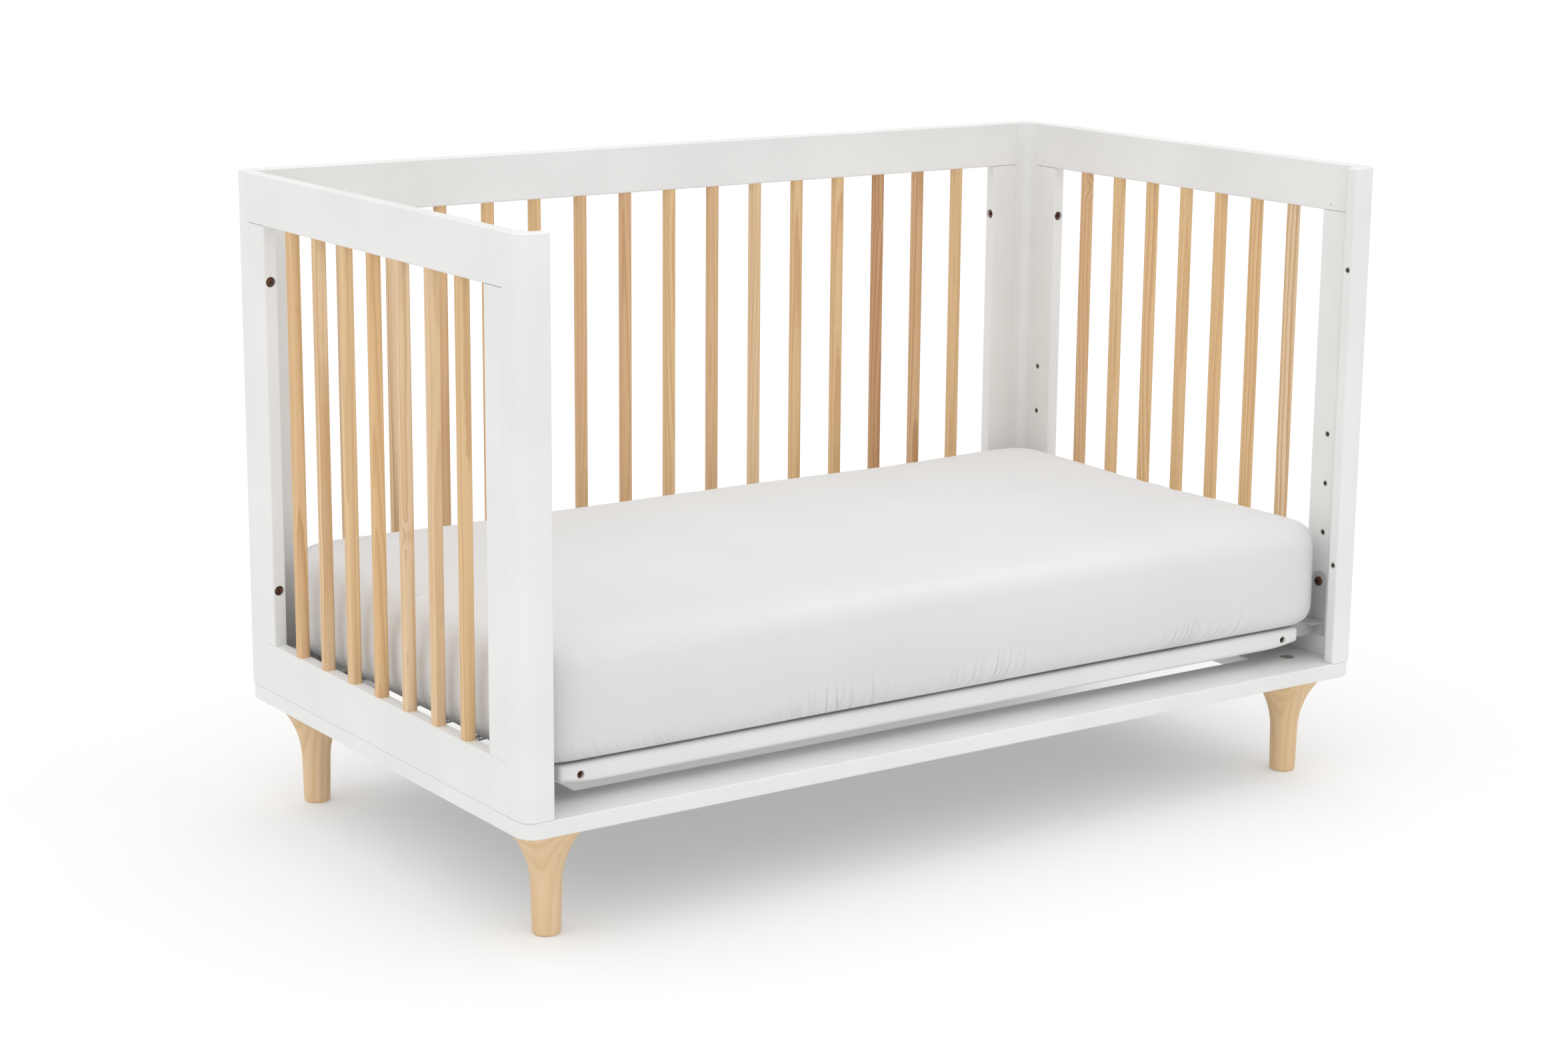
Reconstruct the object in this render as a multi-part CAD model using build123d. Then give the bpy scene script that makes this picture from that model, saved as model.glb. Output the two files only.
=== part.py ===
from build123d import *
import os
from math import sqrt

# Baby crib in its day-bed form: a base ring on four turned legs, four L-shaped corner posts,
# two end panels and a back panel with square spindles, a hanging spring support and a mattress.
# X runs along the crib, Y from front (-) to back (+), Z up from the floor. All sizes in mm.

# Overall sizes
length = 1366.0
depth = 762.0
height = 875.0
board = 19.0  # thickness of rails, stiles and post arms
gap = 0.3  # running clearance between moving bodies
overcut = 1.0  # how far a cutting shape runs past the faces it opens

# Legs
leg_height = 146.5
leg_inset = 67.0  # from both outer faces of the base to the leg's axis
foot_radius = 18.2
foot_rounding = 4.0
shaft_radius = 19.5
shaft_straight = 60.0  # height where the flare starts
flare_radius = 120.0
flange_rim = 3.0

# Base ring
base_thickness = 21.5
base_rail_width = 88.0
base_board_width = 121.0
base_corner = 24.0

# Corner posts
post_arm = 42.0
post_outer_radius = 18.9
post_inner_radius = 15.0

# Panels
rail_height = 67.0
stile_width = 44.0
spindle = 16.0
spindle_corner = 4.0
tenon = 10.0
end_spindles = 7
back_spindles = 15

# Fasteners
panel_bolt_heights = (311.5, 733.0)
bolt_head_radius = 6.5
bolt_head_height = 3.5
bolt_head_rounding = 0.35  # share of the head's height
bolt_radius = 3.0
bolt_length = 66.0
bolt_sink = 6.0
head_recess_radius = 7.0
bolt_hole_radius = 3.25
socket_width = 4.0
socket_depth = 2.2
insert_radius = 4.5
insert_length = 13.0
insert_bore = 3.05
insert_sink = 0.5
leg_bolt_flange = 10.0
leg_bolt_flange_height = 1.6
leg_bolt_radius = 4.0
leg_bolt_reach = 66.0  # how far it goes into the leg

# Mattress support
support_top = 218.2
height_pitch = 71.5
height_count = 4
lowest_hole = 276.5
hole_inset = 56.0  # from the end panel's front or back outer face to the height holes
angle_width = 22.0
angle_drop = 20.2
angle_thickness = 2.0
bracket_gap = 0.5  # from the end panels' inner faces to the brackets
bracket_bolt_head = 3.0
frame_front = -322.0
frame_back = 340.0
bracket_width = 25.0
bracket_rise = 13.5  # bracket above its bolt
wire_radius = 1.25
wire_end_inset = 1.0
coil_radius = 4.5
coil_length = 30.0
coil_drop = 0.7  # coils below the frame's top face
cross_wires = 13
long_wires = 7

# Stabilizer bar
bar_half = 611.0
bar_thickness = 18.0
bar_height = 26.0
bar_top_drop = 0.5  # bar below the frame's top face
bar_sweep = 60.0
bar_sweep_rise = 6.0
bar_bolt_inset = 30.0
bar_bolt_drop = 14.0
bar_bolt_head_radius = 5.0
bar_end_rounding = 5.0

# Mattress and sheet
mattress_half_length = 655.0
mattress_front = -360.0
mattress_back = 340.0
mattress_thickness = 152.0
mattress_corner = 50.0
mattress_top_edge = 24.0
mattress_bottom_edge = 18.0
sheet_thickness = 1.5
sheet_tuck = 70.0

# Worked out from the above
half_x = length / 2
half_y = depth / 2
base_top = leg_height + base_thickness
bottom_rail_top = base_top + rail_height
top_rail_bottom = height - rail_height
post_inner_x = half_x - post_arm
post_inner_y = half_y - post_arm
stile_inner_x = post_inner_x - stile_width
stile_inner_y = post_inner_y - stile_width
panel_mid_x = half_x - board / 2
panel_mid_y = half_y - board / 2
inner_x = half_x - board
hole_y = half_y - hole_inset
frame_x = inner_x - bracket_gap - angle_thickness
bar_top = support_top - bar_top_drop
coil_axis_z = support_top - coil_radius - coil_drop
mattress_bottom = support_top + gap + sheet_thickness

os.makedirs("parts", exist_ok=True)
written = []


def save(name, shape):
    """Write one node, whatever number of solids it holds."""
    shape.label = name
    export_step(shape, f"parts/{name}.step")
    written.append(name)


def block(x, y, z):
    """A box between two limits on each axis."""
    size = [abs(limits[1] - limits[0]) for limits in (x, y, z)]
    middle = [(limits[0] + limits[1]) / 2 for limits in (x, y, z)]
    return Pos(*middle) * Box(*size)


def upright(outline, bottom, top):
    """Extrude a plan outline between two heights."""
    return Pos(0, 0, bottom) * extrude(outline, top - bottom)


def mirror_to(shape, side_x, side_y):
    """Take a shape made for the right back corner to another corner."""
    if side_x < 0:
        shape = mirror(shape, about=Plane.YZ)
    if side_y < 0:
        shape = mirror(shape, about=Plane.XZ)
    return shape


def group(solids):
    return Compound(children=list(solids))


def hole(x, y, z, radius, reach, direction):
    """A cylinder that starts at a point and runs along an axis direction."""
    axis = Plane(origin=(x, y, z), z_dir=direction)
    return axis * Pos(0, 0, reach / 2) * Cylinder(radius, reach)


def at_vertex(sketch, x, y):
    return sketch.vertices().sort_by_distance((x, y, 0))[0]


def rounded_rectangle(x, y, radius):
    """A plan rectangle between limits, with all four corners rounded."""
    middle = ((x[0] + x[1]) / 2, (y[0] + y[1]) / 2)
    return Pos(*middle) * RectangleRounded(x[1] - x[0], y[1] - y[0], radius)


# ---------------------------------------------------------------- fasteners


def socket_bolt(head_radius, head_height, radius, reach):
    """Bolt with its bearing face at the origin, head up and shank down."""
    head = Pos(0, 0, head_height / 2) * Cylinder(head_radius, head_height)
    head = fillet(head.edges().sort_by(Axis.Z)[-1], head_height * bolt_head_rounding)
    shank = Pos(0, 0, -reach / 2) * Cylinder(radius, reach)
    key = RegularPolygon(socket_width / 2, 6, major_radius=False)
    recess = Pos(0, 0, head_height - socket_depth) * extrude(key, socket_depth)
    return head + shank - recess


def threaded_insert(reach):
    """Tube from the origin down, open at both ends."""
    middle = Pos(0, 0, -reach / 2)
    return middle * Cylinder(insert_radius, reach) - middle * Cylinder(insert_bore, reach)


def end_stile_bolt_points():
    """Bearing faces of the bolts through the end panels' back stiles, head towards the front."""
    for side in (-1, 1):
        for z in panel_bolt_heights:
            yield side * panel_mid_x, stile_inner_y + bolt_sink, z


def back_stile_bolt_points():
    """Bearing faces of the bolts through the back panel's stiles, head towards the middle."""
    for side in (-1, 1):
        for z in panel_bolt_heights:
            yield side * (stile_inner_x + bolt_sink), panel_mid_y, z


def facing(x, y, z, direction):
    return Plane(origin=(x, y, z), z_dir=direction)


def make_panel_bolts():
    bolt = socket_bolt(bolt_head_radius, bolt_head_height, bolt_radius, bolt_length - bolt_sink)
    solids = [facing(*point, (0, -1, 0)) * bolt for point in end_stile_bolt_points()]
    for x, y, z in back_stile_bolt_points():
        inward = (-1 if x > 0 else 1, 0, 0)
        solids.append(facing(x, y, z, inward) * bolt)
    save("panel_bolts", group(solids))


def height_holes():
    """Mouths of the mattress height holes, on the end panels' inner faces."""
    for side_x in (-1, 1):
        for side_y in (-1, 1):
            for step in range(height_count):
                yield side_x, side_x * inner_x, side_y * hole_y, lowest_hole + step * height_pitch


def front_panel_holes():
    """Mouths of the holes in the front posts' end faces, which would carry a front panel."""
    for side in (-1, 1):
        for z in panel_bolt_heights:
            yield side, side * post_inner_x, -panel_mid_y, z


def make_inserts():
    tube = threaded_insert(insert_length)
    solids = []
    for side, x, y, z in [*height_holes(), *front_panel_holes()]:
        mouth = x + side * insert_sink
        solids.append(facing(mouth, y, z, (-side, 0, 0)) * tube)
    save("threaded_inserts", group(solids))


def leg_centres():
    for name_y, side_y in (("front", -1), ("back", 1)):
        for name_x, side_x in (("left", -1), ("right", 1)):
            yield f"{name_y}_{name_x}", side_x * (half_x - leg_inset), side_y * (half_y - leg_inset)


def make_leg_bolts():
    bolt = socket_bolt(
        leg_bolt_flange, leg_bolt_flange_height, leg_bolt_radius, base_thickness + leg_bolt_reach
    )
    seat = base_top - leg_bolt_flange_height
    solids = [Pos(x, y, seat) * bolt for _, x, y in leg_centres()]
    save("leg_bolts", group(solids))


# ---------------------------------------------------------------- base and legs


def leg_bolt_hole(x, y, bottom):
    recess = hole(x, y, base_top, leg_bolt_flange, leg_bolt_flange_height, (0, 0, -1))
    return recess + hole(x, y, base_top, leg_bolt_radius, base_top - bottom, (0, 0, -1))


def make_base():
    for name, side in (("front", -1), ("back", 1)):
        plan = Rectangle(length, base_rail_width)
        outer = plan.vertices().group_by(Axis.Y)[-1]
        plan = fillet(outer, base_corner)
        rail = upright(Pos(0, half_y - base_rail_width / 2) * plan, leg_height, base_top)
        for x in (leg_inset - half_x, half_x - leg_inset):
            rail = rail - leg_bolt_hole(x, half_y - leg_inset, leg_height)
        save(f"base_{name}_rail", mirror_to(rail, 1, side))
    span = half_y - base_rail_width
    for name, side in (("left", -1), ("right", 1)):
        reach = (side * (half_x - base_board_width), side * half_x)
        save(f"base_{name}_board", block(sorted(reach), (-span, span), (leg_height, base_top)))


def leg_profile():
    """Half section of a turned leg: rounded foot, slim shaft and a flare that ends in a rim."""
    rim_bottom = leg_height - flange_rim
    rise = rim_bottom - shaft_straight
    flare = shaft_radius + flare_radius - sqrt(flare_radius**2 - rise**2)
    half_rise = rise / 2
    flare_mid = shaft_radius + flare_radius - sqrt(flare_radius**2 - half_rise**2)
    lines = [
        Line((0, 0), (foot_radius - foot_rounding, 0)),
        RadiusArc((foot_radius - foot_rounding, 0), (foot_radius, foot_rounding), -foot_rounding),
        Line((foot_radius, foot_rounding), (shaft_radius, shaft_straight)),
        ThreePointArc(
            (shaft_radius, shaft_straight), (flare_mid, shaft_straight + half_rise), (flare, rim_bottom)
        ),
        Line((flare, rim_bottom), (flare, leg_height)),
        Line((flare, leg_height), (0, leg_height)),
        Line((0, leg_height), (0, 0)),
    ]
    return make_face(Curve() + lines)


def make_legs():
    turned = revolve(Plane.XZ * leg_profile(), Axis.Z)
    pilot = hole(0, 0, leg_height, leg_bolt_radius, leg_bolt_reach + leg_bolt_flange_height, (0, 0, -1))
    leg = turned - pilot
    for name, x, y in leg_centres():
        save(f"leg_{name}", Pos(x, y, 0) * leg)


# ---------------------------------------------------------------- posts and panels


def post_plan():
    """L-shaped section of the right back post: rounded outside, coved inside."""
    corners = [
        (half_x, half_y),
        (post_inner_x, half_y),
        (post_inner_x, half_y - board),
        (inner_x, half_y - board),
        (inner_x, post_inner_y),
        (half_x, post_inner_y),
    ]
    plan = make_face(Polyline(*corners, close=True))
    plan = fillet(at_vertex(plan, half_x, half_y), post_outer_radius)
    return fillet(at_vertex(plan, inner_x, half_y - board), post_inner_radius)


def drill_back_post(post, side):
    """Holes in a back post for the bolts of the end panel and of the back panel."""
    reach = bolt_length - stile_width
    for z in panel_bolt_heights:
        post = post - hole(side * panel_mid_x, post_inner_y, z, bolt_radius, reach, (0, 1, 0))
        post = post - hole(side * post_inner_x, panel_mid_y, z, bolt_radius, reach, (side, 0, 0))
    return post


def drill_inner_face(piece, side, y_sign):
    """Bores for the height inserts of one stile."""
    for step in range(height_count):
        z = lowest_hole + step * height_pitch
        reach = insert_length + insert_sink
        piece = piece - hole(side * inner_x, y_sign * hole_y, z, insert_radius, reach, (side, 0, 0))
    return piece


def make_posts():
    post = upright(post_plan(), base_top, height)
    for name, side in (("left", -1), ("right", 1)):
        save(f"corner_post_back_{name}", drill_back_post(mirror_to(post, side, 1), side))
        front = mirror_to(post, side, -1) + end_stile(side, -1)
        front = drill_inner_face(front, side, -1)
        for z in panel_bolt_heights:
            reach = insert_length + insert_sink
            front = front - hole(side * post_inner_x, -panel_mid_y, z, insert_radius, reach, (side, 0, 0))
        save(f"front_post_{name}", front)


def end_stile(side_x, side_y):
    across = sorted((side_x * inner_x, side_x * half_x))
    along = sorted((side_y * stile_inner_y, side_y * post_inner_y))
    return block(across, along, (bottom_rail_top, top_rail_bottom))


def stile_bolt_cut(point, inward):
    """Head recess and clearance hole through a stile, from the bolt's bearing face."""
    outward = tuple(-part for part in inward)
    recess = hole(*point, head_recess_radius, bolt_sink, outward)
    return recess + hole(*point, bolt_hole_radius, stile_width, inward)


def spindle_at(x, y):
    plan = Pos(x, y) * RectangleRounded(spindle, spindle, spindle_corner)
    return upright(plan, bottom_rail_top - tenon, top_rail_bottom + tenon)


def even_places(count, span):
    """Centres of spindles with equal clear gaps between two stiles."""
    clear = (2 * span - count * spindle) / (count + 1)
    pitch = clear + spindle
    return [(place - (count - 1) / 2) * pitch for place in range(count)]


def make_end_panel(name, side):
    across = sorted((side * inner_x, side * half_x))
    along = (-post_inner_y, post_inner_y)
    places = even_places(end_spindles, stile_inner_y)
    spindles = [spindle_at(side * panel_mid_x, y) for y in places]
    top_rail = block(across, along, (top_rail_bottom, height)) - spindles
    bottom_rail = block(across, along, (base_top, bottom_rail_top)) - spindles
    back_stile = drill_inner_face(end_stile(side, 1), side, 1)
    for point in end_stile_bolt_points():
        if point[0] * side > 0:
            back_stile = back_stile - stile_bolt_cut(point, (0, 1, 0))
    save(f"{name}_end_top_rail", top_rail)
    save(f"{name}_end_bottom_rail", bottom_rail)
    save(f"{name}_end_back_stile", back_stile)
    for number, piece in enumerate(spindles, start=1):
        save(f"{name}_end_spindle_{number}", piece)


def make_back_panel():
    across = (half_y - board, half_y)
    along = (-post_inner_x, post_inner_x)
    places = even_places(back_spindles, stile_inner_x)
    spindles = [spindle_at(x, panel_mid_y) for x in places]
    save("back_top_rail", block(along, across, (top_rail_bottom, height)) - spindles)
    save("back_bottom_rail", block(along, across, (base_top, bottom_rail_top)) - spindles)
    for name, side in (("left", -1), ("right", 1)):
        reach = sorted((side * stile_inner_x, side * post_inner_x))
        stile = block(reach, across, (bottom_rail_top, top_rail_bottom))
        for point in back_stile_bolt_points():
            if point[0] * side > 0:
                stile = stile - stile_bolt_cut(point, (side, 0, 0))
        save(f"back_{name}_stile", stile)
    for number, piece in enumerate(spindles, start=1):
        save(f"back_spindle_{number:02d}", piece)


# ---------------------------------------------------------------- mattress support


def angle_along_x(y_outer, inward, x_limits):
    """Angle steel along X with its upright leg outside and its flat leg pointing inward."""
    upright_leg = sorted((y_outer, y_outer + inward * angle_thickness))
    flat_leg = sorted((y_outer, y_outer + inward * angle_width))
    bottom = support_top - angle_drop
    wall = block(x_limits, upright_leg, (bottom, support_top))
    return wall + block(x_limits, flat_leg, (support_top - angle_thickness, support_top))


def angle_along_y(side, y_limits):
    upright_leg = sorted((side * frame_x, side * (frame_x - angle_thickness)))
    flat_leg = sorted((side * frame_x, side * (frame_x - angle_width)))
    bottom = support_top - angle_drop
    wall = block(upright_leg, y_limits, (bottom, support_top))
    return wall + block(flat_leg, y_limits, (support_top - angle_thickness, support_top))


def bracket(side_x, side_y):
    """Hanging strap on the outside of an end angle, with its bolt hole at the lowest height."""
    across = sorted((side_x * frame_x, side_x * (frame_x + angle_thickness)))
    middle = side_y * hole_y
    along = (middle - bracket_width / 2, middle + bracket_width / 2)
    strap = block(across, along, (support_top - angle_drop, lowest_hole + bracket_rise))
    top_corners = strap.edges().filter_by(Axis.X).group_by(Axis.Z)[-1]
    strap = fillet(top_corners, bracket_width / 3)
    start = side_x * (frame_x - overcut)
    reach = angle_thickness + 2 * overcut
    return strap - hole(start, middle, lowest_hole, bolt_hole_radius, reach, (side_x, 0, 0))


def bar_bolt_points():
    z = bar_top - bar_bolt_drop
    return [(side * (bar_half - bar_bolt_inset), frame_front, z) for side in (-1, 1)]


def make_support_frame():
    rail_reach = (-frame_x + angle_thickness, frame_x - angle_thickness)
    side_reach = (-hole_y - bracket_width / 2, frame_back)
    frame = angle_along_x(frame_front, 1, rail_reach) + angle_along_x(frame_back, -1, rail_reach)
    for side in (-1, 1):
        frame = frame + angle_along_y(side, side_reach)
        frame = frame + bracket(side, -1) + bracket(side, 1)
    for x, y, z in bar_bolt_points():
        reach = angle_thickness + 2 * overcut
        frame = frame - hole(x, y - overcut, z, bolt_hole_radius, reach, (0, 1, 0))
    save("support_frame", frame)


def sprung_wire(start, end, height_z, along_x, place):
    """A straight wire with a coil spring at each end, drawn as its outer cylinders."""
    direction = (1, 0, 0) if along_x else (0, 1, 0)

    def point(distance, z):
        return (distance, place, z) if along_x else (place, distance, z)

    reach = end - start - 2 * wire_end_inset
    wire = hole(*point(start + wire_end_inset, height_z), wire_radius, reach, direction)
    first = hole(*point(start, coil_axis_z), coil_radius, coil_length, direction)
    last = hole(*point(end - coil_length, coil_axis_z), coil_radius, coil_length, direction)
    return wire + first + last


def make_spring_mesh():
    above = coil_axis_z + 2 * wire_radius  # the long wires lie on the cross wires
    front = frame_front + angle_width
    back = frame_back - angle_width
    side = frame_x - angle_width
    solids = []
    for place in range(cross_wires):
        x = (place - (cross_wires - 1) / 2) * 2 * side / cross_wires
        solids.append(sprung_wire(front, back, coil_axis_z, False, x))
    for place in range(long_wires):
        y = front + (place + 0.5) * (back - front) / long_wires
        solids.append(sprung_wire(-side, side, above, True, y))
    save("spring_mesh", group(solids))


def make_support_bolts():
    """Bracket bolts, which end short of the stiles so the support can slide, and bar bolts."""
    short_bolt = socket_bolt(bolt_head_radius, bracket_bolt_head, bolt_radius, angle_thickness)
    solids = []
    for side_x in (-1, 1):
        for side_y in (-1, 1):
            seat = (side_x * frame_x, side_y * hole_y, lowest_hole)
            solids.append(facing(*seat, (-side_x, 0, 0)) * short_bolt)
    bar_bolt = socket_bolt(bar_bolt_head_radius, bolt_head_height, bolt_radius, bar_thickness)
    for x, y, z in bar_bolt_points():
        seat = y - bar_thickness + 2 * bolt_head_height
        solids.append(facing(x, seat, z, (0, -1, 0)) * bar_bolt)
    save("support_bolts", group(solids))


def bar_outline():
    """Front view of the bar, as a sketch in X and Z: its lower edge sweeps up at each end."""
    low = bar_top - bar_height
    corner = low + bar_sweep_rise
    start = bar_half - bar_sweep
    middle = bar_half - bar_sweep / 2
    rise = bar_sweep_rise / 4
    lines = [
        Line((-start, low), (start, low)),
        ThreePointArc((start, low), (middle, low + rise), (bar_half, corner)),
        Line((bar_half, corner), (bar_half, bar_top)),
        Line((bar_half, bar_top), (-bar_half, bar_top)),
        Line((-bar_half, bar_top), (-bar_half, corner)),
        ThreePointArc((-bar_half, corner), (-middle, low + rise), (-start, low)),
    ]
    face = make_face(Curve() + lines)
    ends = [at_vertex(face, side * bar_half, z) for side in (-1, 1) for z in (corner, bar_top)]
    return fillet(ends, bar_end_rounding)


def make_stabilizer_bar():
    front_plane = Plane(origin=(0, frame_front, 0), x_dir=(1, 0, 0), z_dir=(0, -1, 0))
    bar = extrude(front_plane * bar_outline(), bar_thickness)
    for x, y, z in bar_bolt_points():
        face = y - bar_thickness
        bar = bar - hole(x, face, z, bar_bolt_head_radius, 2 * bolt_head_height, (0, 1, 0))
        bar = bar - hole(x, face, z, bolt_hole_radius, bar_thickness, (0, 1, 0))
    save("stabilizer_bar", bar)


# ---------------------------------------------------------------- mattress


def cushion(grow):
    """The mattress block, grown outwards by a distance on every side."""
    x = (-mattress_half_length - grow, mattress_half_length + grow)
    y = (mattress_front - grow, mattress_back + grow)
    plan = rounded_rectangle(x, y, mattress_corner + grow)
    top = mattress_bottom + mattress_thickness
    solid = upright(plan, mattress_bottom - grow, top + grow)
    solid = fillet(solid.edges().group_by(Axis.Z)[-1], mattress_top_edge + grow)
    return fillet(solid.edges().group_by(Axis.Z)[0], mattress_bottom_edge + grow)


def make_mattress():
    core = cushion(0)
    x = (sheet_tuck - mattress_half_length, mattress_half_length - sheet_tuck)
    y = (mattress_front + sheet_tuck, mattress_back - sheet_tuck)
    opening = upright(
        rounded_rectangle(x, y, mattress_corner),
        mattress_bottom - 2 * sheet_thickness,
        mattress_bottom + overcut,
    )
    save("mattress", core)
    save("fitted_sheet", cushion(sheet_thickness) - core - opening)


make_base()
make_legs()
make_posts()
make_end_panel("left", -1)
make_end_panel("right", 1)
make_back_panel()
make_panel_bolts()
make_inserts()
make_leg_bolts()
make_support_frame()
make_spring_mesh()
make_support_bolts()
make_stabilizer_bar()
make_mattress()
print(len(written), "nodes")
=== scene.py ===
"""Baby crib in its day-bed form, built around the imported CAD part.

Painted boards and L-shaped posts, square pine spindles, turned pine legs, a hanging spring
support, a mattress and its fitted sheet. X runs along the crib, Y from front (-) to back (+)
and Z up. Lengths are in metres; mm turns millimetres into metres.
"""

import bmesh
import bpy
import numpy as np
from mathutils import Matrix, Vector


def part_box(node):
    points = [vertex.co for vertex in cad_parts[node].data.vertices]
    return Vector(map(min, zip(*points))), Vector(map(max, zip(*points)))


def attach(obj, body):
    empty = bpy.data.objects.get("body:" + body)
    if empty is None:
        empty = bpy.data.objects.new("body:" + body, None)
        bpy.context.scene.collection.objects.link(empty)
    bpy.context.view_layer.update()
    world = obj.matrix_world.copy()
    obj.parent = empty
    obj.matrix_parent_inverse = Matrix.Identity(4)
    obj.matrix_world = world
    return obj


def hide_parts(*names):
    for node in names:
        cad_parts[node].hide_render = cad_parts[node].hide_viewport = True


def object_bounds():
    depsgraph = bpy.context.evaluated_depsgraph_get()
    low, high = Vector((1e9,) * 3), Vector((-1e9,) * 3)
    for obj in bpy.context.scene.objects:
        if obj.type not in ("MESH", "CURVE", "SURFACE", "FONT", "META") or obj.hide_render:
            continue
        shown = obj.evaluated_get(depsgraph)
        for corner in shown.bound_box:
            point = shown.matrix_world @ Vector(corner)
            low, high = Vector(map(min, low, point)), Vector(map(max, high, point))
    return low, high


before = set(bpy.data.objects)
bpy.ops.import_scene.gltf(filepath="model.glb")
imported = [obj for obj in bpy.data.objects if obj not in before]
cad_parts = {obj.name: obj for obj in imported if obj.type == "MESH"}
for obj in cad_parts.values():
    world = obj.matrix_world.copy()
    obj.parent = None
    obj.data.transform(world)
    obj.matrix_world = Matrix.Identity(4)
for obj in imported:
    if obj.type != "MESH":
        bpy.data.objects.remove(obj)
cad_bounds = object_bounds()
mm = 0.001

# ---------------------------------------------------------------- sizes shared by several pieces

top_high = cad_bounds[1]
half_x = top_high.x
half_y = top_high.y
crib_top = top_high.z
base_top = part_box("base_front_rail")[1].z
rail_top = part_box("left_end_bottom_rail")[1].z
upper_rail_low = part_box("left_end_top_rail")[0].z
post_inner_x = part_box("back_top_rail")[1].x
post_inner_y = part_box("left_end_top_rail")[1].y
stile_inner_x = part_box("back_right_stile")[0].x
stile_inner_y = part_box("right_end_back_stile")[0].y
inner_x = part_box("right_end_top_rail")[0].x
inner_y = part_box("back_top_rail")[0].y
panel_mid_x = (half_x + inner_x) / 2
panel_mid_y = (half_y + inner_y) / 2

bolt_heights = (311.5 * mm, 733 * mm)
height_holes = [(276.5 + 71.5 * step) * mm for step in range(4)]
hole_y = half_y - 56 * mm
insert_radius = 4.5 * mm
insert_depth = 13.5 * mm
recess_radius = 7 * mm  # round recesses that the panel bolts' heads sit in
recess_depth = 6 * mm
brad_radius = 1.1 * mm  # small nail holes on the rails' inner faces
brad_depth = 4 * mm

soft_edge = 2.6 * mm  # long edges of the rails
post_edge = 3.4 * mm  # free arms of the front posts
seam_edge = 0.9 * mm  # edges that meet another board in a fine groove
stile_end_edge = seam_edge / 3
base_edge = 2.0 * mm
top_radii = (soft_edge,) * 4
bottom_radii = (seam_edge, seam_edge, 1.5 * mm, 1.5 * mm)
outer_corner = 18.9 * mm  # a post's long outer edge, seen in plan
inner_corner = 15 * mm  # the hollow between a post's two arms
fillet_steps = 5
board_angle = 35  # degrees between two faces that still shade as one


# ---------------------------------------------------------------- meshes


def new_piece(name, shells, smooth_angle=board_angle):
    """One mesh from several shells, each a pair of points and faces, welded and turned outwards."""
    points = []
    faces = []
    for shell_points, shell_faces in shells:
        start = len(points)
        points.extend(shell_points.reshape(-1, 3).tolist())
        faces.extend([[index + start for index in face] for face in shell_faces])
    mesh = bpy.data.meshes.new(name)
    mesh.from_pydata(points, [], faces)
    work = bmesh.new()
    work.from_mesh(mesh)
    bmesh.ops.remove_doubles(work, verts=work.verts, dist=2e-6)
    bmesh.ops.recalc_face_normals(work, faces=work.faces)
    work.to_mesh(mesh)
    work.free()
    piece = bpy.data.objects.new(name, mesh)
    bpy.context.scene.collection.objects.link(piece)
    smooth(piece, smooth_angle)
    return piece


def smooth(piece, angle):
    """Smooth shading up to an angle between faces, weighted so that flat faces stay flat."""
    piece.data.polygons.foreach_set("use_smooth", np.ones(len(piece.data.polygons), bool))
    piece.data.set_sharp_from_angle(angle=np.radians(angle))
    weighted = piece.modifiers.new("flat faces stay flat", "WEIGHTED_NORMAL")
    weighted.mode = "FACE_AREA"
    weighted.keep_sharp = True


def ring_faces(rows, columns):
    """Quads of a grid whose columns close on themselves, row by row."""
    index = np.arange(rows * columns).reshape(rows, columns)
    here = index[:-1]
    above = index[1:]
    quads = np.stack([here, np.roll(here, -1, 1), np.roll(above, -1, 1), above], -1)
    return quads.reshape(-1, 4).tolist()


def capped_tube(points):
    """Shell of a row-by-row grid of rings, closed by a flat face on its first and last ring."""
    rows, columns = points.shape[:2]
    faces = ring_faces(rows, columns)
    last = (rows - 1) * columns
    faces.append(list(range(columns)))
    faces.append(list(range(last, last + columns)))
    return points.reshape(-1, 3), faces


def outline(corners, radii, inset):
    """Closed outline with an arc at each corner, moved inwards by inset.

    The arc's centre lies one radius in from both sides, and its points are that centre minus the
    radius times a direction that turns from one side's normal to the next. Moving the outline in
    shrinks a convex arc and widens a hollow one.
    """
    corners = np.array(corners, float)
    radii = np.array(radii, float)
    x, y = corners.T
    if np.sum(x * np.roll(y, -1) - np.roll(x, -1) * y) < 0:
        corners = corners[::-1]
        radii = radii[::-1]
    after = np.roll(corners, -1, 0) - corners
    after /= np.linalg.norm(after, axis=1, keepdims=True)
    before = np.roll(after, 1, 0)
    turn = np.sign(before[:, 0] * after[:, 1] - before[:, 1] * after[:, 0])[:, None]
    normal_before = np.stack([-before[:, 1], before[:, 0]], 1)
    normal_after = np.stack([-after[:, 1], after[:, 0]], 1)
    both = normal_before + normal_after
    both /= 1 + np.sum(normal_before * normal_after, 1, keepdims=True)
    radius = np.maximum(radii[:, None] - turn * inset, 0.02 * mm)
    centre = corners + both * inset + both * radius * turn
    share = np.linspace(0, 1, fillet_steps + 1)[None, :, None]
    turned = share * np.pi / 2
    swing = normal_before[:, None] * np.cos(turned) + normal_after[:, None] * np.sin(turned)
    swing /= np.linalg.norm(swing, axis=2, keepdims=True)
    arcs = centre[:, None] - turn[:, None] * radius[:, None] * swing
    return arcs.reshape(-1, 2)


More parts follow.
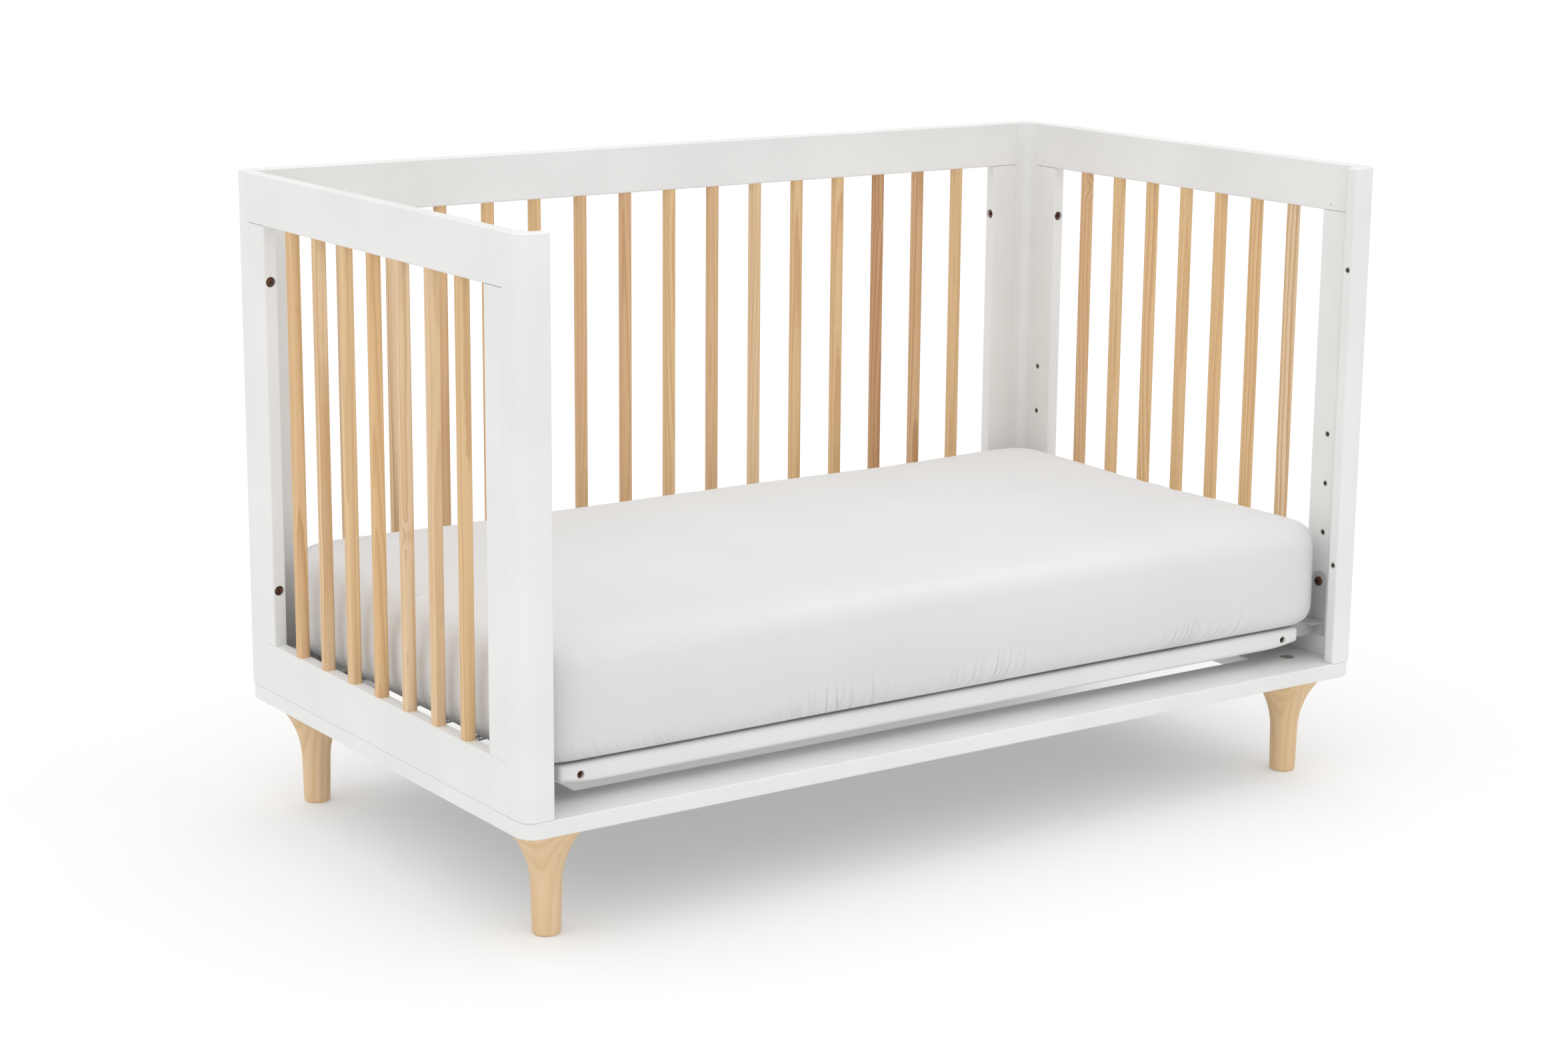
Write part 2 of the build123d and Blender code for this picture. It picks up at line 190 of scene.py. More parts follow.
def prism(corners, radii, low, high, edge_low, edge_high, axes=(0, 1, 2)):
    """Shell of an outline in two axes carried along the third.

    Towards each end the outline draws in along a quarter circle, which rounds the end's edge.
    """
    turn = np.linspace(0, np.pi / 2, fillet_steps + 1)
    rise = 1 - np.cos(turn)
    drawn_in = 1 - np.sin(turn)
    levels = np.concatenate([low + edge_low * rise, high - edge_high * rise[::-1]])
    insets = np.concatenate([edge_low * drawn_in, edge_high * drawn_in[::-1]])
    flat = np.stack([outline(corners, radii, inset) for inset in insets])
    points = np.empty((*flat.shape[:2], 3))
    points[..., axes[0]] = flat[..., 0]
    points[..., axes[1]] = flat[..., 1]
    points[..., axes[2]] = levels[:, None]
    return capped_tube(points)


def board_between(low, high, along, radii, edge_low, edge_high):
    """Shell of a straight board: a rectangle with four corner radii carried along one axis.

    The radii go round the rectangle from its lowest corner, first along its first axis.
    """
    first, second = [axis for axis in range(3) if axis != along]
    corners = [
        (low[first], low[second]),
        (high[first], low[second]),
        (high[first], high[second]),
        (low[first], high[second]),
    ]
    axes = (first, second, along)
    return prism(corners, radii, low[along], high[along], edge_low, edge_high, axes)


def lathe(profile, sides, origin, direction):
    """Shell turned round an axis: each (radius, distance along the axis) of a profile is a ring."""
    profile = np.array(profile, float)
    angle = np.linspace(0, 2 * np.pi, sides, endpoint=False)
    ring = np.stack([np.cos(angle), np.sin(angle), np.zeros(sides)], -1)
    points = profile[:, :1, None] * ring[None]
    points[..., 2] = profile[:, 1:2]
    return place(capped_tube(points), origin, direction)


def place(shell, origin, direction):
    """Turn a shell made along Z to a direction and move it to an origin."""
    points, faces = shell
    third = np.array(direction, float)
    helper = np.array([0, 0, 1.0]) if abs(third[2]) < 0.9 else np.array([0, 1.0, 0])
    first = np.cross(helper, third)
    first /= np.linalg.norm(first)
    second = np.cross(third, first)
    return points @ np.stack([first, second, third]) + np.array(origin), faces


def drill(piece, holes):
    """Cut round holes, each (mouth, direction into the wood, radius, depth), with a broken rim."""
    lip = 0.45 * mm
    cutters = []
    for mouth, direction, radius, depth in holes:
        profile = [(radius + lip, -mm), (radius + lip, 0), (radius, lip), (radius, depth)]
        cutters.append(lathe(profile, 28, mouth, direction))
    tool = new_piece("hole cutter", cutters)
    tool.modifiers.clear()
    cut = piece.modifiers.new("holes", "BOOLEAN")
    cut.operation = "DIFFERENCE"
    cut.solver = "EXACT"
    cut.object = tool
    piece.modifiers.move(len(piece.modifiers) - 1, 0)
    piece.modifiers[1].show_viewport = False  # the normals are weighted again after the cut
    bpy.context.view_layer.update()
    evaluated = piece.evaluated_get(bpy.context.evaluated_depsgraph_get())
    result = bpy.data.meshes.new_from_object(evaluated)
    piece.modifiers.clear()
    piece.data = result
    bpy.data.objects.remove(tool)
    smooth(piece, board_angle)


# ---------------------------------------------------------------- finishes


class Signal:
    """A shader socket that can be used in Python expressions."""

    def __init__(self, finish, socket):
        self.finish = finish
        self.socket = socket

    def math(self, operation, first, second=0.5):
        return self.finish.add("ShaderNodeMath", {"operation": operation}, {0: first, 1: second})

    def __add__(self, other):
        return self.math("ADD", self, other)

    def __sub__(self, other):
        return self.math("SUBTRACT", self, other)

    def __mul__(self, other):
        return self.math("MULTIPLY", self, other)

    def __truediv__(self, other):
        return self.math("DIVIDE", self, other)

    def __radd__(self, other):
        return self.math("ADD", other, self)

    def __rsub__(self, other):
        return self.math("SUBTRACT", other, self)

    def __rmul__(self, other):
        return self.math("MULTIPLY", other, self)

    def fraction(self):
        return self.math("FRACT", self)

    def sine(self):
        return self.math("SINE", self)

    def absolute(self):
        return self.math("ABSOLUTE", self)

    def between(self, low, high):
        """0 below low, 1 above high and a smooth step between them."""
        settings = {"interpolation_type": "SMOOTHSTEP"}
        sockets = {"Value": self, "From Min": low, "From Max": high}
        return self.finish.add("ShaderNodeMapRange", settings, sockets)


class Finish:
    """A material whose nodes are made by one method."""

    def __init__(self, name):
        self.material = bpy.data.materials.new(name)
        self.material.use_nodes = True
        self.tree = self.material.node_tree
        self.shader = self.tree.nodes["Principled BSDF"]
        self.position = self.add("ShaderNodeTexCoord", {}, {}, "Object")

    def add(self, kind, settings, sockets, output=0):
        """Make a node, set its settings first, then its sockets, and return one output."""
        node = self.tree.nodes.new(kind)
        for name, value in settings.items():
            if name == "stops":
                self.set_stops(node.color_ramp, value)
            else:
                setattr(node, name, value)
        for name, value in sockets.items():
            self.feed(self.find(node.inputs, name), value)
        return Signal(self, self.find(node.outputs, output))

    def find(self, sockets, name):
        if isinstance(name, int):
            return sockets[name]
        matching = [socket for socket in sockets if socket.identifier == name]
        return matching[0] if matching else sockets[name]

    def feed(self, socket, value):
        if isinstance(value, Signal):
            self.tree.links.new(value.socket, socket)
        else:
            socket.default_value = value

    def set_stops(self, ramp, stops):
        while len(ramp.elements) > 1:
            ramp.elements.remove(ramp.elements[-1])
        ramp.elements[0].position, ramp.elements[0].color = stops[0][0], (*stops[0][1], 1)
        for position, colour in stops[1:]:
            ramp.elements.new(position).color = (*colour, 1)

    def set(self, **sockets):
        """Feed the shader, with underscores for the spaces in its socket names."""
        for name, value in sockets.items():
            if not isinstance(value, Signal) and hasattr(value, "__len__"):
                value = (*value, 1)[:4]
            self.feed(self.shader.inputs[name.replace("_", " ")], value)

    def stretched(self, scale, offset=(0, 0, 0), vector=None):
        source = self.position if vector is None else vector
        sockets = {"Vector": source, "Scale": scale, "Location": offset}
        return self.add("ShaderNodeMapping", {}, sockets)

    def noise(self, scale, detail, vector=None):
        source = self.position if vector is None else vector
        sockets = {"Vector": source, "Scale": scale, "Detail": detail}
        return self.add("ShaderNodeTexNoise", {}, sockets)

    def mix(self, share, first, second):
        """Colour between two colours."""
        settings = {"data_type": "RGBA"}
        ends = [value if isinstance(value, Signal) else (*value, 1) for value in (first, second)]
        sockets = {"Factor_Float": share, "A_Color": ends[0], "B_Color": ends[1]}
        return self.add("ShaderNodeMix", settings, sockets, "Result_Color")

    def parts(self, vector):
        node = self.add("ShaderNodeSeparateXYZ", {}, {0: vector}).socket.node
        return [Signal(self, socket) for socket in node.outputs]

    def join(self, x, y, z):
        return self.add("ShaderNodeCombineXYZ", {}, {0: x, 1: y, 2: z})

    def vector_math(self, operation, first, second):
        return self.add("ShaderNodeVectorMath", {"operation": operation}, {0: first, 1: second})

    def bump(self, height, distance):
        """Relief: height is in units of distance."""
        sockets = {"Height": height, "Distance": distance}
        self.feed(self.shader.inputs["Normal"], self.add("ShaderNodeBump", {}, sockets))


def painted_wood():
    """Satin white paint: soft roller texture, faint wood grain under it and slight mottling."""
    paint = Finish("white paint")
    mottle = paint.noise(6.0, 3.0)
    streaks = paint.noise(1.0, 3.0, paint.stretched((260, 260, 12)))
    tone = paint.mix(mottle.between(0.3, 0.7), (0.80, 0.80, 0.79), (0.845, 0.845, 0.835))
    paint.set(Base_Color=tone, Roughness=0.36 + mottle * 0.14)
    peel = paint.noise(420.0, 2.0)
    paint.bump(peel * 0.7 + streaks * 0.5, 0.05 * mm)
    return paint.material


def pine(name, cell, ring_width, tones):
    """Clear pine: growth rings as distance from a trunk axis beside each piece, with fibres and knots.

    cell is the spacing at which the trunk axis and the tone change from piece to piece. The tones
    are pale sapwood, honey sapwood, the dark late growth and knots.
    """
    pale, honey, dark, knot_tone = tones
    wood = Finish(name)
    shifted = wood.vector_math("ADD", wood.position, (cell / 2, cell / 2, 50))
    snapped = wood.vector_math("SNAP", shifted, (cell, cell, 100))
    chance = wood.add("ShaderNodeTexWhiteNoise", {}, {"Vector": snapped}, "Color")
    chance_x, chance_y, chance_z = wood.parts(chance)
    x, y, z = wood.parts(wood.position)
    snap_x, snap_y, _ = wood.parts(snapped)
    wander = wood.noise(1.0, 2.0, wood.stretched((8, 8, 1.8)))
    wander_y = wood.noise(1.0, 2.0, wood.stretched((8, 8, 1.8), (3, 7, 1)))
    knots = wood.add("ShaderNodeTexVoronoi", {}, {"Vector": wood.position, "Scale": 7.5}, "Distance") / 7.5
    near_knot = 1 - knots.between(0.004, 0.024)
    across = x - snap_x + (chance_x - 0.5) * 0.10 + (wander - 0.5) * 0.030
    deep = y - snap_y + 0.035 + chance_y * 0.05 + (wander_y - 0.5) * 0.030
    from_trunk = {0: wood.join(across, deep, 0.0)}
    trunk = wood.add("ShaderNodeVectorMath", {"operation": "LENGTH"}, from_trunk, "Value")
    taper = z * (chance_z - 0.5) * 0.03
    count = (trunk + taper + near_knot * 0.007) / ring_width + wood.noise(45.0, 2.0) * 0.22
    ring = count.fraction()
    late = ring.between(0.30, 0.88) * (1 - ring.between(0.90, 1.0))
    cloud = wood.noise(1.0, 2.0, wood.stretched((60, 60, 5), (6, 1, 2)))
    colour = wood.mix(chance_z * 0.7 + cloud * 0.5 - 0.1, pale, honey)
    colour = wood.mix(late * (0.34 + chance_y * 0.46), colour, dark)
    fibre = wood.noise(1.0, 3.0, wood.stretched((1100, 1100, 14)))
    streak = wood.noise(1.0, 2.0, wood.stretched((210, 210, 3.2), (5, 5, 5)))
    canal = wood.noise(1.0, 1.0, wood.stretched((800, 800, 26), (2, 5, 9))).between(0.66, 0.74)
    colour = wood.mix(fibre * 0.16 + streak.between(0.42, 0.72) * 0.22, colour, dark)
    colour = wood.mix(canal * 0.30, colour, dark)
    colour = wood.mix((1 - knots.between(0.003, 0.012)) * 0.5, colour, dark)
    colour = wood.mix(1 - knots.between(0.0015, 0.0040), colour, knot_tone)
    wood.set(Base_Color=colour, Roughness=0.44 + fibre * 0.14 - late * 0.05, Specular_IOR_Level=0.25)
    wood.bump(fibre * 0.5 + late * 0.5, 0.06 * mm)
    return wood.material


def metal(name, light, dark, roughness, grain):
    """Plated metal: colour drifts between two tones, with fine scratches and handling marks."""
    plate = Finish(name)
    drift = plate.noise(160.0, 3.0)
    scratch = plate.noise(1.0, 2.0, plate.stretched((1800, 1800, 240)))
    plate.set(
        Base_Color=plate.mix(drift.between(0.3, 0.7), dark, light),
        Metallic=0.6 + drift * 0.4,
        Roughness=roughness + scratch * 0.2,
    )
    plate.bump(scratch * 0.6 + drift * 0.4, grain)
    return plate.material


def powder_coat():
    """Grey powder coat: orange peel and a speckle of lighter grains."""
    coat = Finish("grey powder coat")
    speckle = coat.noise(1500.0, 1.0)
    tone = coat.mix(speckle.between(0.45, 0.7), (0.50, 0.51, 0.52), (0.60, 0.61, 0.62))
    coat.set(Base_Color=tone, Roughness=0.42 + speckle * 0.2)
    coat.bump(coat.noise(700.0, 2.0), 0.08 * mm)
    return coat.material


def ticking():
    """Mattress ticking: a quilted lattice pressed into a plain weave, with painted shade darkening the
    pressed-in lines.
    """
    cloth = Finish("mattress ticking")
    x, y, _ = cloth.parts(cloth.position)
    lattice = 0.080
    one = ((x + y) / lattice * 3.1416).sine()
    other = ((x - y) / lattice * 3.1416).sine()
    quilt_height_and_groove_shade = (one * one).between(0.0, 0.35) * (other * other).between(0.0, 0.35)
    threads = ((x * 5200).sine() + (y * 5200).sine()) * 0.25
    # The quilting lines take the darker tone: painted shade in the pressed-in grooves, on top of their bump
    # relief.
    tone = cloth.mix(quilt_height_and_groove_shade, (0.70, 0.70, 0.69), (0.80, 0.80, 0.79))
    cloth.set(Base_Color=tone, Roughness=0.85 + threads * 0.05, Sheen_Weight=0.2)
    cloth.bump(quilt_height_and_groove_shade * 0.9 + threads * 0.05, 2.5 * mm)
    return cloth.material


def cotton():
    """White cotton percale: plain weave, slubs, and fine pleats above the elastic hem.

    The cloth's own map holds its run round the mattress and its height above the bottom edge.
    """
    cloth = Finish("white cotton")
    chart = cloth.add("ShaderNodeUVMap", {"uv_map": "cloth run"}, {})
    run, height, _ = cloth.parts(chart)
    threads = (run * 9000).sine() * (height * 9000).sine()
    slubs = cloth.noise(1.0, 3.0, cloth.stretched((55, 900, 1), (0, 0, 0), chart))
    slubs_across = cloth.noise(1.0, 3.0, cloth.stretched((900, 55, 1), (4, 2, 0), chart))
    low_band = 1 - height.between(0.012, 0.070)
    wavy = cloth.noise(1.0, 1.0, cloth.stretched((62, 6, 1), (1, 0, 0), chart)) - 0.5
    crease = 1 - wavy.absolute().between(0.0, 0.07)
    patches = cloth.noise(1.0, 1.0, cloth.stretched((5, 3, 1), (7, 2, 0), chart)).between(0.42, 0.60)
    pleats = crease * low_band * patches
    cloudy = cloth.noise(3.0, 3.0)
    tone = cloth.mix(cloudy.between(0.3, 0.7), (0.75, 0.752, 0.753), (0.78, 0.782, 0.783))
    tone = cloth.mix((slubs + slubs_across - 1.0).between(0.05, 0.4) * 0.25, tone, (0.71, 0.712, 0.713))
    cloth.set(Base_Color=tone, Roughness=0.82 + threads * 0.04, Sheen_Weight=0.25, Sheen_Roughness=0.5)
    cloth.bump((slubs + slubs_across) * 0.06 + threads * 0.03 - pleats * 0.75, 2.2 * mm)
    return cloth.material


white_paint = painted_wood()
dark_growth = (0.56, 0.32, 0.145)
knot = (0.20, 0.09, 0.04)
sapwood = ((0.83, 0.635, 0.425), (0.79, 0.575, 0.345), dark_growth, knot)
honeywood = ((0.81, 0.585, 0.34), (0.77, 0.515, 0.265), dark_growth, knot)
redder_wood = ((0.76, 0.525, 0.31), (0.71, 0.46, 0.25), (0.49, 0.265, 0.12), knot)
heartwood = ((0.64, 0.40, 0.22), (0.58, 0.335, 0.165), (0.42, 0.205, 0.095), knot)
legwood = ((0.81, 0.61, 0.39), (0.77, 0.545, 0.305), (0.70, 0.465, 0.245), knot)
spindle_pitch = 75.7 * mm
pale_pine = pine("pale pine", spindle_pitch, 6.0 * mm, sapwood)
honey_pine = pine("honey pine", spindle_pitch, 6.0 * mm, honeywood)
redder_pine = pine("redder pine", spindle_pitch, 5.5 * mm, redder_wood)
heart_pine = pine("heart pine", spindle_pitch, 5.0 * mm, heartwood)
leg_pine = pine("leg pine", 400 * mm, 11.0 * mm, legwood)
bronze = metal("bronze plating", (0.20, 0.095, 0.06), (0.055, 0.028, 0.02), 0.34, 0.05 * mm)
zinc = metal("zinc plating", (0.62, 0.61, 0.58), (0.44, 0.43, 0.40), 0.28, 0.04 * mm)
steel = powder_coat()
tick = ticking()
percale = cotton()


def finish_piece(piece, body, slot, material, *nodes):
    """Give a piece its finish and its body, and hide the CAD nodes that it stands for."""
    piece.data.materials.clear()
    piece.data.materials.append(material)
    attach(piece, body)
    if nodes:
        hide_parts(*nodes)
    return piece


def keep_node(name, material):
    """A CAD node whose shape is right keeps it and gets a finish."""
    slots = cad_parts[name].data.materials
    slots.clear()
    slots.append(material)


# ---------------------------------------------------------------- painted boards and posts


def corner_name(side_x, side_y):
    return f"{'back' if side_y > 0 else 'front'}_{'right' if side_x > 0 else 'left'}"


def post_corners(side_x, side_y):
    """Plan of an L-shaped post, from its outer corner round to the other arm."""
    return [
        (side_x * half_x, side_y * half_y),
        (side_x * half_x, side_y * post_inner_y),
        (side_x * inner_x, side_y * post_inner_y),
        (side_x * inner_x, side_y * inner_y),
        (side_x * post_inner_x, side_y * inner_y),
        (side_x * post_inner_x, side_y * half_y),
    ]


def make_back_posts():
    radii = [outer_corner, seam_edge, seam_edge, inner_corner, seam_edge, seam_edge]
    for side in (-1, 1):
        shell = prism(post_corners(side, 1), radii, base_top, crib_top, seam_edge, soft_edge)
        piece = new_piece(f"{corner_name(side, 1)}_post", [shell])
        node = "corner_post_back_right" if side > 0 else "corner_post_back_left"
        finish_piece(piece, "crib", "painted_wood", white_paint, node)


def inner_face_holes(side_x, side_y):
    """The four mattress height holes of a corner, in the end panel's inner face."""
    for height in height_holes:
        yield (side_x * inner_x, side_y * hole_y, height), (side_x, 0, 0), insert_radius, insert_depth


def make_front_posts():
    radii = [outer_corner, seam_edge, seam_edge, inner_corner, post_edge, post_edge]
    for side in (-1, 1):
        post = prism(post_corners(side, -1), radii, base_top, crib_top, 1.5 * mm, soft_edge)
        piece = new_piece(f"{corner_name(side, -1)}_post", [post])
        holes = [
            ((side * post_inner_x, -panel_mid_y, height), (side, 0, 0), insert_radius, insert_depth)
            for height in bolt_heights
        ]
        drill(piece, holes)
        node = f"front_post_{'right' if side > 0 else 'left'}"
        finish_piece(piece, "crib", "painted_wood", white_paint, node)
        stile = new_piece(f"{corner_name(side, -1)}_stile", [end_stile(side, -1)])
        drill(stile, inner_face_holes(side, -1))
        finish_piece(stile, "crib", "painted_wood", white_paint, node)


def end_stile(side_x, side_y):
    """Shell of an upright beside a post: fine seam on the post's side, soft edges on the other."""
    across = sorted((side_x * inner_x, side_x * half_x))
    along = sorted((side_y * stile_inner_y, side_y * post_inner_y))
    low = (across[0], along[0], rail_top)
    high = (across[1], along[1], upper_rail_low)
    free_first = side_y > 0
    near = soft_edge if free_first else seam_edge
    far = seam_edge if free_first else soft_edge
    return board_between(low, high, 2, (near, near, far, far), stile_end_edge, stile_end_edge)


def make_board(name, node, along, radii, end_edge=seam_edge, holes=()):
    """A straight painted board in its CAD node's place, with eased edges and drilled holes."""
    low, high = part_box(node)
    board = new_piece(name, [board_between(low, high, along, radii, end_edge, end_edge)])
    if holes:
        drill(board, holes)
    finish_piece(board, "crib", "painted_wood", white_paint, node)


def make_end_panels():
    for name, side in (("left", -1), ("right", 1)):
        for part, radii, level, nails in (
            ("top", top_radii, upper_rail_low + 8 * mm, (-0.310, 0.322)),
            ("bottom", bottom_radii, rail_top - 6 * mm, (-0.316, 0.316)),
        ):
            holes = [((side * inner_x, y, level), (side, 0, 0), brad_radius, brad_depth) for y in nails]
            make_board(f"{name}_end_{part}_board", f"{name}_end_{part}_rail", 1, radii, holes=holes)
        stile = new_piece(f"{name}_end_stile", [end_stile(side, 1)])
        recesses = [
            ((side * panel_mid_x, stile_inner_y, height), (0, 1, 0), recess_radius, recess_depth)
            for height in bolt_heights
        ]
        drill(stile, [*recesses, *inner_face_holes(side, 1)])
        finish_piece(stile, "crib", "painted_wood", white_paint, f"{name}_end_back_stile")


def make_back_panel():
    make_board("back_top_board", "back_top_rail", 0, top_radii)
    make_board("back_bottom_board", "back_bottom_rail", 0, bottom_radii)
    for name, side in (("left", -1), ("right", 1)):
        near, far = (seam_edge, soft_edge) if side < 0 else (soft_edge, seam_edge)
        recesses = [
            ((side * stile_inner_x, panel_mid_y, height), (side, 0, 0), recess_radius, recess_depth)
            for height in bolt_heights
        ]
        radii = (near, far, far, near)
        make_board(f"back_{name}_upright", f"back_{name}_stile", 2, radii, stile_end_edge, recesses)


def make_base():
    """The ring under the crib, with a shallow seat over each leg's bolt."""
    leg_inset = 67 * mm
    leg_x = half_x - leg_inset
    leg_y = half_y - leg_inset
    seat_radius, seat_depth = 10 * mm, 1.6 * mm
    for name, side in (("front", -1), ("back", 1)):
        low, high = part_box(f"base_{name}_rail")
        inner, outer = (high.y, low.y) if side < 0 else (low.y, high.y)
        corners = [(low.x, inner), (high.x, inner), (high.x, outer), (low.x, outer)]
        radii = (seam_edge, seam_edge, 24 * mm, 24 * mm)
        rail = new_piece(f"base_{name}_board", [prism(corners, radii, low.z, high.z, base_edge, base_edge)])
        mouths = [(x, side * leg_y, base_top) for x in (-leg_x, leg_x)]
        drill(rail, [(mouth, (0, 0, -1), seat_radius, seat_depth) for mouth in mouths])
        finish_piece(rail, "crib", "painted_wood", white_paint, f"base_{name}_rail")
    for name in ("left", "right"):
        make_board(f"base_{name}_end_board", f"base_{name}_board", 1, (base_edge,) * 4)


def make_plugs():
    """Filled screw holes on the front base board: shallow painted domes."""
    profile = [(3.2 * mm, -0.4 * mm), (3.1 * mm, 0.05 * mm), (2.2 * mm, 0.16 * mm), (0.8 * mm, 0.2 * mm)]
    row = -0.372
    places = [(x, row, base_top) for x in (-0.504, -0.355, 0.355, 0.504)]
    domes = [lathe(profile, 24, middle, (0, 0, 1)) for middle in places]
    finish_piece(new_piece("base_plugs", domes, 60), "crib", "painted_wood", white_paint)


# ---------------------------------------------------------------- pine spindles and legs


def spindle_wood(name):
    """Each spindle is cut from its own board: pale, honey, redder or heartwood."""
    chosen = {
        heart_pine: ("back_spindle_13",),
        redder_pine: (
            *(f"back_spindle_{number:02d}" for number in (3, 6, 7, 9, 14)),
            "right_end_spindle_7",
        ),
        pale_pine: (
            *(f"back_spindle_{number:02d}" for number in (1, 2, 10)),
            *(f"left_end_spindle_{number}" for number in (2, 3, 6)),
            "right_end_spindle_1",
        ),
    }
    for wood, names in chosen.items():
        if name in names:
            return wood
    return honey_pine


def make_spindles():
    """Square spindles with rounded arrises."""
    names = [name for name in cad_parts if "spindle" in name]
    corner = 4.6 * mm
    for name in sorted(names):
        low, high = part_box(name)
        radii = (corner, corner, corner, corner)
        piece = new_piece(f"{name}_pine", [board_between(low, high, 2, radii, 1 * mm, 1 * mm)], 50)
        finish_piece(piece, "crib", "clear_pine", spindle_wood(name), name)


def leg_profile():
    """Radius against height: rounded foot, slim shaft, a flare on a circle and a thin rim.

    The flare's radius is the shaft's plus the circle's, less the root of the circle squared minus
    the rise squared.
    """
    foot, foot_round, shaft, straight, circle = 18.2 * mm, 4 * mm, 19.5 * mm, 60 * mm, 120 * mm
    top = 146.5 * mm
    rim = top - 3 * mm
    turn = np.linspace(0, np.pi / 2, 8)
    foot_arc = np.stack([foot - foot_round * (1 - np.sin(turn)), foot_round * (1 - np.cos(turn))], 1)
    rise = np.linspace(0, rim - straight, 30)
    flare = np.stack([shaft + circle - np.sqrt(circle**2 - rise**2), straight + rise], 1)
    edge = flare[-1, 0]
    share = np.array([0.3, 0.6, 0.9])
    shaft_line = np.stack([foot + (shaft - foot) * share, foot_round + (straight - foot_round) * share], 1)
    rim_line = [(edge, top - 0.6 * mm), (edge - 0.6 * mm, top)]
    start = [(1 * mm, 0), (8 * mm, 0)]
    return np.vstack([start, foot_arc, shaft_line, flare, rim_line])


def make_legs():
    profile = leg_profile()
    for side_y in (-1, 1):
        for side_x in (-1, 1):
            name = f"leg_{corner_name(side_x, side_y)}"
            low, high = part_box(name)
            middle = (low + high) / 2
            shell = lathe(profile, 72, (middle.x, middle.y, 0), (0, 0, 1))
            finish_piece(new_piece(f"{name}_turned", [shell], 40), "crib", "clear_pine", leg_pine, name)


# ---------------------------------------------------------------- fasteners


def socket_head(origin, direction, head, height, shank, reach, key):
    """Shell of a bolt with a button head and a hexagon socket.

    Rings go from the socket's floor up its six flat walls, over the domed head, under it and down
    the shank. A flat wall's distance from the axis is half the key over the cosine of the angle
    from the middle of that flat.
    """
    sides = 48
    angle = np.linspace(0, 2 * np.pi, sides, endpoint=False)
    flat_angle = np.mod(angle + np.pi / 6, np.pi / 3) - np.pi / 6
    hexagon = key / 2 / np.cos(flat_angle)
    full = np.ones(sides)
    depth = 0.63 * height
    rings = [(hexagon * 0.15, height - depth * 1.1), (hexagon, height - depth), (hexagon, height - 0.2 * mm)]
    rings.append((hexagon + 0.25 * mm, height))
    for share in np.linspace(0.1, 1, 7):
        radius = hexagon + (head * full - hexagon) * share**0.8
        rings.append((radius, height - height * 0.6 * share**3.2))
    rings.append((head * full, 0.25 * mm))
    rings.append(((head - 0.25 * mm) * full, 0))
    rings.append((shank * full, 0))
    rings.append((shank * full, -reach))
    points = np.empty((len(rings), sides, 3))
    for row, (radius, level) in enumerate(rings):
        points[row] = np.stack([radius * np.cos(angle), radius * np.sin(angle), full * level], -1)
    return place(capped_tube(points), origin, direction)


def make_panel_bolts():
    head, height, shank, key = 6.4 * mm, 3.5 * mm, 3 * mm, 4 * mm
    shells = []
    for side in (-1, 1):
        for z in bolt_heights:
            end = (side * panel_mid_x, stile_inner_y + recess_depth, z)
            back = (side * (stile_inner_x + recess_depth), panel_mid_y, z)
            shells.append(socket_head(end, (0, -1, 0), head, height, shank, 4 * mm, key))
            shells.append(socket_head(back, (-side, 0, 0), head, height, shank, 4 * mm, key))
    finish_piece(new_piece("panel_bolt_heads", shells), "crib", "bronze_fasteners", bronze, "panel_bolts")


make_back_posts()
make_front_posts()
make_end_panels()
make_back_panel()
make_base()
make_plugs()
make_spindles()
make_legs()
make_panel_bolts()
keep_node("threaded_inserts", zinc)
keep_node("leg_bolts", zinc)
keep_node("support_bolts", bronze)
keep_node("support_frame", steel)


# ---------------------------------------------------------------- mattress support


def tube(path, radius, sides):
    """Shell of a round wire along a path: each ring stands square to the path's own direction."""
    path = np.array(path, float)
    along = np.gradient(path, axis=0)
    along /= np.linalg.norm(along, axis=1, keepdims=True)
    helper = np.where(np.abs(along[:, 2:]) < 0.8, np.array([[0, 0, 1.0]]), np.array([[1.0, 0, 0]]))
    first = np.cross(helper, along)
    first /= np.linalg.norm(first, axis=1, keepdims=True)
    second = np.cross(along, first)
    angle = np.linspace(0, 2 * np.pi, sides, endpoint=False)
    ring = first[:, None] * np.cos(angle)[None, :, None] + second[:, None] * np.sin(angle)[None, :, None]
    return capped_tube(path[:, None] + radius * ring)


def sprung_path(start, end, level, coil_level, place_at, along_x, sign):
    """Helix from an anchor hook to where the straight wire takes over.

    Its radius grows from nothing at the hook and shrinks to nothing again at the wire, and its
    middle rises evenly from the coil's level to the wire's.
    """
    coil_radius = 3.6 * mm
    turns = 11
    points_a_turn = 12
    taper = 14  # the coil is at full width after one part in this many
    share = np.linspace(0, 1, turns * points_a_turn + 1)
    angle = share * turns * 2 * np.pi
    radius = coil_radius * np.minimum(1, np.minimum(share, 1 - share) * taper)
    distance = start + (end - start) * share
    aside = place_at + radius * np.cos(angle)
    height = coil_level + (level - coil_level) * share + radius * np.sin(angle) * sign
    columns = (distance, aside, height) if along_x else (aside, distance, height)
    return np.stack(columns, -1)


